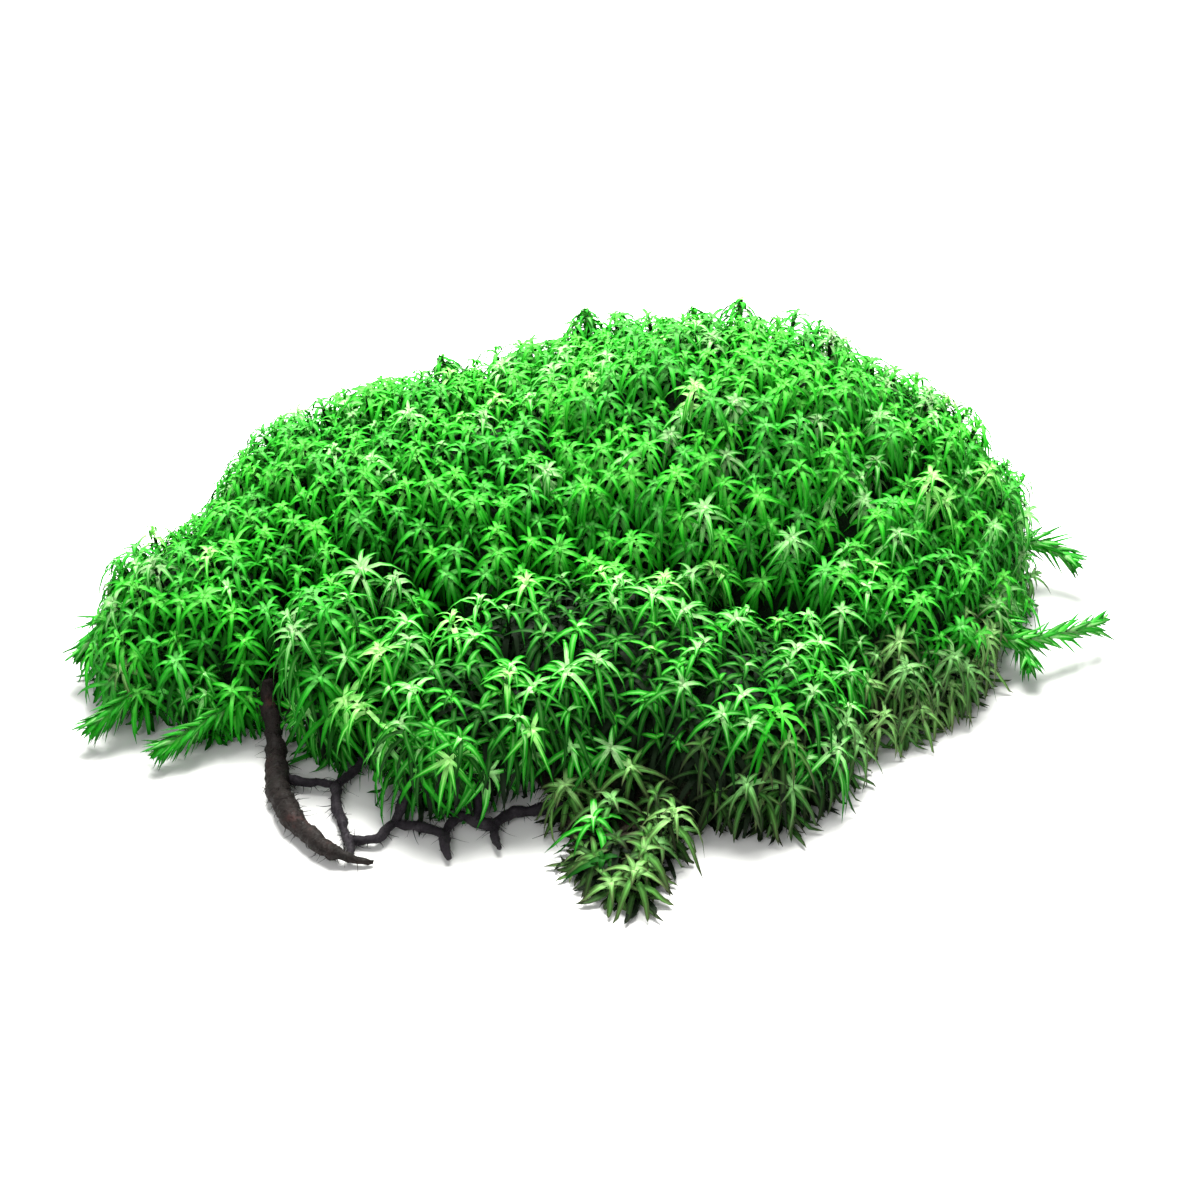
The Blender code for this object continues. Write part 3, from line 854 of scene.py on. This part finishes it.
canopy_skin = canopy_mesh()
for seed, (name, row) in enumerate(TUFTS.items()):
    spacing, length, half_width, plain_share, olive_share, darkening_for_age_and_shade = row
    if name == "tuft_foot":
        shoots = solids_object(name + "_shoots", [name, "rhizoid_mat"])
    else:
        shoots = in_scene(name + "_shoots", canopy_skin.copy())
    own = solids_object("own_tuft", [name])
    around = solids_object("neighbours", [other for other in tuft_names if other != name])
    values = {
        "Tuft": own,
        "Neighbours": around,
        "Spacing": spacing * MM,
        "Leaf Length": length * MM,
        "Leaf Half Width": half_width * MM,
        "Plain Share": plain_share,
        "Olive Share": olive_share,
        "Darkening For Age And Shade": darkening_for_age_and_shade,
        "Seed": seed,
        "Material": moss_leaf,
    }
    if name in OVERHANGS:  # shoots stand out of the underside too, on long bare stems
        values.update({"Lowest Facing": -0.8, "Stem Length": 40.0 * MM})
    if name == "tuft_front_left":  # its edge hangs over the net
        values["Hang"] = 4.5 * MM
    if name == "tuft_foot":  # its shoots also cover the felt between it and the front
        values["Reach Over"] = 6.0 * MM
    shoots.data = grown_mesh(shoots, moss_tuft, values)
    bpy.data.objects.remove(own, do_unlink=True)
    bpy.data.objects.remove(around, do_unlink=True)
    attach(shoots, "root")
    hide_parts(name)

# ---- The old stem and the runners ---------------------------------------------------------------
# Under the front left side the clump stands open. One thick old stem of brown-red bark curves round the
# opening, and thin near-black runners net across it, forking and rooting, with fine rootlets on them.

# routes from the thick end, as x, y, z and radius in the CAD's own coordinates (mm)
CAD_MIDDLE = Vector((5.8, 5.2, 0.0))  # the middle of the clump in those coordinates
STEMS = {
    "old_stem_rim": (
        (-45.6, -12.5, 9.5, 1.0), (-44.8, -15.5, 5.2, 1.25), (-44.0, -19.5, 2.4, 1.5),
        (-43.2, -24.2, 1.9, 1.7), (-42.2, -29.0, 2.0, 1.8), (-40.4, -33.6, 1.9, 1.75),
        (-37.6, -38.4, 1.8, 1.6), (-34.4, -41.6, 1.5, 1.3), (-30.3, -43.4, 1.0, 0.85),
        (-27.2, -43.2, 0.6, 0.35),
    ),
    "runner_cross": (
        (-33.5, -27.4, 1.3, 0.8), (-33.9, -30.6, 1.15, 0.8), (-32.6, -35.6, 1.0, 0.75),
        (-31.0, -39.6, 1.0, 0.75), (-30.6, -43.2, 0.9, 0.7),
    ),
    "runner_left": ((-43.0, -25.2, 1.4, 0.75), (-38.7, -26.6, 1.5, 0.75), (-33.6, -27.6, 1.3, 0.7)),
    "runner_inner": (
        (-33.6, -27.6, 1.3, 0.7), (-31.2, -24.0, 1.9, 0.7), (-28.4, -19.0, 3.4, 0.75),
        (-26.4, -14.5, 5.6, 0.8),
    ),
    "runner_middle": (
        (-31.0, -38.6, 1.0, 0.7), (-27.3, -39.4, 1.0, 0.7), (-24.4, -35.6, 1.1, 0.75),
        (-20.2, -36.8, 1.1, 0.75), (-17.6, -38.3, 1.1, 0.8),
    ),
    "runner_stub_left": ((-17.7, -38.2, 1.1, 0.75), (-17.2, -40.6, 1.0, 0.7), (-16.4, -43.0, 0.9, 0.45)),
    "runner_right": (
        (-17.7, -38.2, 1.1, 0.75), (-15.4, -34.6, 1.2, 0.75), (-13.2, -35.4, 1.1, 0.75),
        (-10.5, -36.0, 1.1, 0.8),
    ),
    "runner_stub_right": ((-10.5, -36.0, 1.1, 0.75), (-10.0, -38.6, 1.0, 0.65), (-9.3, -41.0, 0.8, 0.4)),
    "runner_far_right": (
        (-10.5, -36.0, 1.1, 0.8), (-8.0, -34.0, 1.2, 0.8), (-5.6, -33.2, 1.3, 0.8),
        (-2.4, -33.2, 2.0, 0.85), (1.6, -33.0, 3.2, 0.9),
    ),
    "rising_stem_left": ((-24.4, -35.6, 1.1, 0.75), (-23.6, -33.6, 3.2, 0.8), (-22.4, -31.0, 6.8, 0.9)),
    "rising_stem_middle": (
        (-13.2, -35.4, 1.1, 0.75), (-12.7, -33.2, 3.0, 0.8), (-12.2, -30.4, 6.6, 0.9),
    ),
}


def route_curve(tree, route):
    """A smooth curve through a route's points."""
    curve = {"Curve": add_node(tree, "GeometryNodeMeshToCurve", {"Mesh": route}).outputs[0]}
    return add_node(tree, "GeometryNodeCurveSplineType", curve, spline_type="CATMULL_ROM").outputs[0]


def resampled(tree, curve, label, amount):
    """A curve with even points, by their Length apart or their Count."""
    values = {"Curve": curve, label: amount}
    return add_node(tree, "GeometryNodeResampleCurve", values, mode=label.upper()).outputs[0]


def shifted(tree, geometry, offset):
    return add_node(tree, "GeometryNodeSetPosition", {"Geometry": geometry, "Offset": offset}).outputs[0]


def tube_along(tree, curve, sides, radius):
    """A closed tube along a curve."""
    ring = {"Resolution": sides, "Radius": 1.0}
    ring = add_node(tree, "GeometryNodeCurvePrimitiveCircle", ring, mode="RADIUS").outputs[0]
    values = {"Curve": curve, "Profile Curve": ring, "Scale": radius, "Fill Caps": True}
    return add_node(tree, "GeometryNodeCurveToMesh", values).outputs[0]


def stem_tree():
    inputs = {"Knobs": 0.28 * MM, "Rootlet Density": 450000.0, "Rootlet Length": 2.0 * MM}
    inputs = {"Route": "Geometry", **inputs, "Material": "Material"}
    tree, given, result = new_tree("bare_stem", inputs)

    # the stem wavers and swells on its way
    route = resampled(tree, route_curve(tree, given["Route"]), "Length", 0.35 * MM)
    place = position(tree)
    waver = vec(tree, "SUBTRACT", noise_of(tree, place, 260.0, 1.0, result="Color"), (0.5, 0.5, 0.5))
    route = shifted(tree, route, scaled(tree, waver, 1.5 * MM))
    swell = ranged(tree, noise_of(tree, place, 420.0, 2.0), 0.3, 0.7, 0.72, 1.2)
    route = keep(tree, route, thickness=times(tree, named(tree, "radius_here"), swell))
    tube = tube_along(tree, route, 12, named(tree, "thickness"))

    # small knobs stand out of the bark, and nothing passes the flat sole
    knobs = minus(tree, noise_of(tree, place, 1100.0, 3.0), 0.5)
    knobs = times(tree, knobs, times(tree, given["Knobs"], 2.0))
    tube = shifted(tree, tube, scaled(tree, add_node(tree, "GeometryNodeInputNormal").outputs[0], knobs))
    tube = dressed(tree, placed(tree, tube, held_above(tree, place, 0.05 * MM)), given["Material"])
    rootlet = {"Density": given["Rootlet Density"], "Longest": given["Rootlet Length"]}
    rootlet.update({"Highest": 12.0 * MM, "Thickness": 0.075 * MM, "Material": given["Material"]})
    tree.links.new(run_group(tree, rootlets, Surface=tube, **rootlet), result["Geometry"])
    return tree


bare_stem = stem_tree()


def route_object(name, points):
    """A line through a route's points, with each point's radius kept on it."""
    mesh = bpy.data.meshes.new(name)
    spots = [(Vector(point[:3]) - CAD_MIDDLE) * MM for point in points]
    mesh.from_pydata(spots, [(k, k + 1) for k in range(len(spots) - 1)], [])
    radii = mesh.attributes.new("radius_here", "FLOAT", "POINT")
    for k, point in enumerate(points):
        radii.data[k].value = point[3] * MM
    return in_scene(name, mesh)


old_bark = fibre_material(
    "old_bark",
    ((0.36, (0.008, 0.007, 0.006)), (0.56, (0.016, 0.011, 0.01)), (0.78, (0.075, 0.027, 0.024))),
    220.0,
    0.5,
    0.3 * MM,
)
runner_bark = fibre_material(
    "runner_bark",
    ((0.3, (0.008, 0.007, 0.009)), (0.55, (0.022, 0.018, 0.023)), (0.8, (0.06, 0.055, 0.06))),
    420.0,
    0.45,
    0.2 * MM,
)
for name, points in STEMS.items():
    bark = old_bark if name == "old_stem_rim" else runner_bark
    stem = route_object(name + "_bark", points)
    stem.data = grown_mesh(stem, bare_stem, {"Material": bark})
    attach(stem, "root")
    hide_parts(name)

# ---- The stray shoots ---------------------------------------------------------------------------
# A few shoots grow clear of the cushion, round its edge and over its crown: one leafy stem each, its
# leaves pressed forward along it and a pale bud at its end.

# routes from inside the cushion, as x, y, z and the radius that the leaves reach to (mm)
STRAYS = {
    "stray_shoot_right": (
        (66.0, 1.0, 7.5, 1.5), (74.0, 2.5, 6.2, 1.7), (81.5, 6.0, 5.4, 1.9),
        (86.0, 8.6, 5.8, 1.5), (88.8, 10.0, 6.6, 0.5),
    ),
    "stray_shoot_upper_right": (
        (70.0, 26.0, 7.5, 2.0), (77.0, 26.8, 7.6, 2.3), (81.6, 25.0, 6.6, 2.1),
        (84.3, 20.8, 5.0, 0.8),
    ),
    "stray_shoot_right_low": (
        (66.5, 8.0, 8.5, 1.7), (70.5, 4.5, 6.5, 1.9), (72.2, 0.5, 4.4, 1.7),
        (72.6, -3.5, 2.6, 0.6),
    ),
    "stray_shoot_left": (
        (-66.0, 3.0, 12.0, 1.9), (-72.0, 2.6, 9.5, 2.3), (-75.5, -0.5, 6.4, 1.9),
        (-76.4, -3.6, 4.0, 0.6),
    ),
    "stray_shoot_left_low": (
        (-62.5, -9.0, 8.0, 1.8), (-67.5, -14.0, 6.2, 2.1), (-71.5, -16.4, 4.0, 1.8),
        (-74.1, -18.2, 2.4, 0.6),
    ),
    "stray_shoot_front_left": (
        (-50.0, -13.5, 7.0, 1.7), (-55.0, -18.0, 5.2, 2.0), (-60.0, -21.0, 3.6, 1.7),
        (-63.8, -23.4, 2.2, 0.6),
    ),
    "stray_shoot_crown": (
        (26.8, 36.5, 37.0, 2.2), (27.3, 39.4, 42.0, 2.8), (27.8, 41.0, 45.0, 2.4),
        (28.1, 41.8, 47.0, 0.8),
    ),
    "stray_shoot_crown_left": (
        (22.0, 38.5, 36.0, 1.6), (21.0, 41.6, 40.2, 2.0), (20.2, 43.2, 42.2, 1.6),
        (19.5, 44.4, 43.6, 0.5),
    ),
    "stray_shoot_ridge": (
        (3.5, 41.0, 34.0, 1.5), (3.0, 44.2, 38.8, 1.9), (2.7, 45.8, 40.6, 1.5),
        (2.4, 47.0, 42.0, 0.5),
    ),
    "stray_shoot_ridge_left": (
        (-17.0, 35.0, 29.5, 1.6), (-19.4, 37.0, 33.5, 2.0), (-20.6, 38.0, 36.1, 1.6),
        (-21.6, 38.8, 37.9, 0.5),
    ),
}


LEAFY_SHARE = 0.84  # of the route: the last leaves reach on past it


def stray_tree():
    inputs = {"Leaves": 84, "Leaf Half Width": 0.5 * MM, "Seed": 0, "Material": "Material"}
    tree, given, result = new_tree("stray_shoot", {"Route": "Geometry", **inputs})
    trim = {"Curve": route_curve(tree, given["Route"]), 2: 0.0, 3: LEAFY_SHARE}
    route = add_node(tree, "GeometryNodeTrimCurve", trim, mode="FACTOR").outputs[0]
    number = add_node(tree, "GeometryNodeInputIndex").outputs[0]
    points = keep(
        tree,
        resampled(tree, route, "Count", given["Leaves"]),
        axis=add_node(tree, "GeometryNodeInputTangent").outputs[0],
        base=position(tree),
        share=over(tree, number, minus(tree, given["Leaves"], 1.0)),
        number=number,
    )
    points = {"Curve": points}
    points = add_node(tree, "GeometryNodeCurveToPoints", points, mode="EVALUATED").outputs["Points"]

    # leaves lie along a level shoot, and spread from an upright one
    axis = named_vector(tree, "axis")
    upright = ranged(tree, parts_of(tree, axis)["Z"], 0.2, 0.8, 0.0, 1.0)
    lowness = times(tree, minus(tree, 1.0, named(tree, "share")), 1.7)
    reach = linear(tree, named(tree, "radius_here"), 1.4, 2.2 * MM)
    grown = ranged(tree, lowness, 0.0, 0.35, 0.35, 1.0, smooth=True)
    widened = ranged(tree, lowness, 0.0, 0.3, 0.7, 1.0)
    age = linear(tree, lowness, 0.8, spread(tree, -0.7, 0.4, 37))
    points = keep(
        tree,
        points,
        spoke=golden_spoke(tree, axis, (0.35, 0.2, 0.9), spread(tree, -0.3, 0.3, given["Seed"])),
        length=times(tree, reach, grown, spread(tree, 0.85, 1.15, 31)),
        width=times(tree, given["Leaf Half Width"], widened, spread(tree, 0.85, 1.15, 32)),
        rise=spread(tree, 0.65, 1.05, 33),
        bend=plus(tree, linear(tree, upright, 2.2, -0.3), spread(tree, -0.3, 0.3, 34)),
        sweep=spread(tree, -0.12, 0.12, 35),
        tint=calc(tree, "FLOOR", spread(tree, 0.0, TINTS - 2.01, 36)),
        age=chart_row(tree, age, AGES - 2.0),
    )
    blades = run_group(tree, leaf_blades, Leaf_Points=points, Weight=0.3, Material=given["Material"])

    slim = resampled(tree, route, "Count", 14)
    slim = keep(tree, slim, along=add_node(tree, "GeometryNodeSplineParameter").outputs["Factor"])
    stem = tube_along(tree, slim, 6, 0.32 * MM)
    row = linear(tree, named(tree, "along"), -0.9, 3.95)
    stem = dressed(tree, charted(tree, stem, spread(tree, 0.1, 0.9, 38), row), given["Material"])
    join_result(tree, result, stem, blades)
    return tree


stray_shoot = stray_tree()
for seed, (name, points) in enumerate(STRAYS.items()):
    shoot = route_object(name + "_leaves", points)
    shoot.data = grown_mesh(shoot, stray_shoot, {"Seed": seed, "Material": moss_leaf})
    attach(shoot, "root")
    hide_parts(name)

# ---- The studio ---------------------------------------------------------------------------------
# A plain pale floor and soft light from above, brighter from behind, and the viewing angle.

FLOOR_REACH = 30.0  # metres: the floor has no edge in any view
FLOOR_DROP = 0.2 * MM  # the floor is this far under the flat sole
CAMERA_HEIGHT = math.radians(36)
CAMERA_DISTANCE = 0.36
CAMERA_AIM = Vector((-0.7, -5.4, 15.5)) * MM

corners = [(x * FLOOR_REACH, y * FLOOR_REACH, 0) for x, y in ((-1, -1), (1, -1), (1, 1), (-1, 1))]
floor_mesh = bpy.data.meshes.new("floor")
floor_mesh.from_pydata(corners, [], [(0, 1, 2, 3)])
floor = in_scene("floor", floor_mesh)
floor.location.z = -FLOOR_DROP
floor_look, _, floor_shader = new_material("pale_floor", 0.5)
floor_shader["Base Color"].default_value = (0.86, 0.86, 0.85, 1)
floor_shader["Roughness"].default_value = 0.9
floor_mesh.materials.append(floor_look)


def aimed(place, aim):
    """The turn of a lamp or camera at a place that looks at an aim."""
    return (Vector(aim) - Vector(place)).to_track_quat("-Z", "Y").to_euler()


def area_light(name, place, aim, size, power, colour):
    data = bpy.data.lights.new(name, "AREA")
    data.shape = "DISK"
    data.size = size
    data.energy = power
    data.color = colour
    lamp = in_scene(name, data)
    lamp.location = place
    lamp.rotation_euler = aimed(place, aim)


area_light("top_light", (0.0, 0.2, 0.42), (0, 0.01, 0.02), 0.3, 7.2, (1.0, 1.0, 0.97))
area_light("front_light", (-0.25, -0.6, 0.5), (0, 0, 0.02), 0.4, 1.6, (1.0, 1.0, 1.0))

world = bpy.data.worlds.new("studio")
world.use_nodes = True
world.node_tree.nodes["Background"].inputs["Color"].default_value = (1, 1, 1, 1)
world.node_tree.nodes["Background"].inputs["Strength"].default_value = 0.45
bpy.context.scene.world = world
bpy.context.scene.view_settings.view_transform = "Standard"

camera_data = bpy.data.cameras.new("camera")
camera_data.lens = 70.0
camera_data.sensor_width = 36.0
camera = in_scene("camera", camera_data)
away = Vector((0, -math.cos(CAMERA_HEIGHT), math.sin(CAMERA_HEIGHT)))
camera.location = CAMERA_AIM + away * CAMERA_DISTANCE
camera.rotation_euler = aimed(camera.location, CAMERA_AIM)
bpy.context.scene.camera = camera
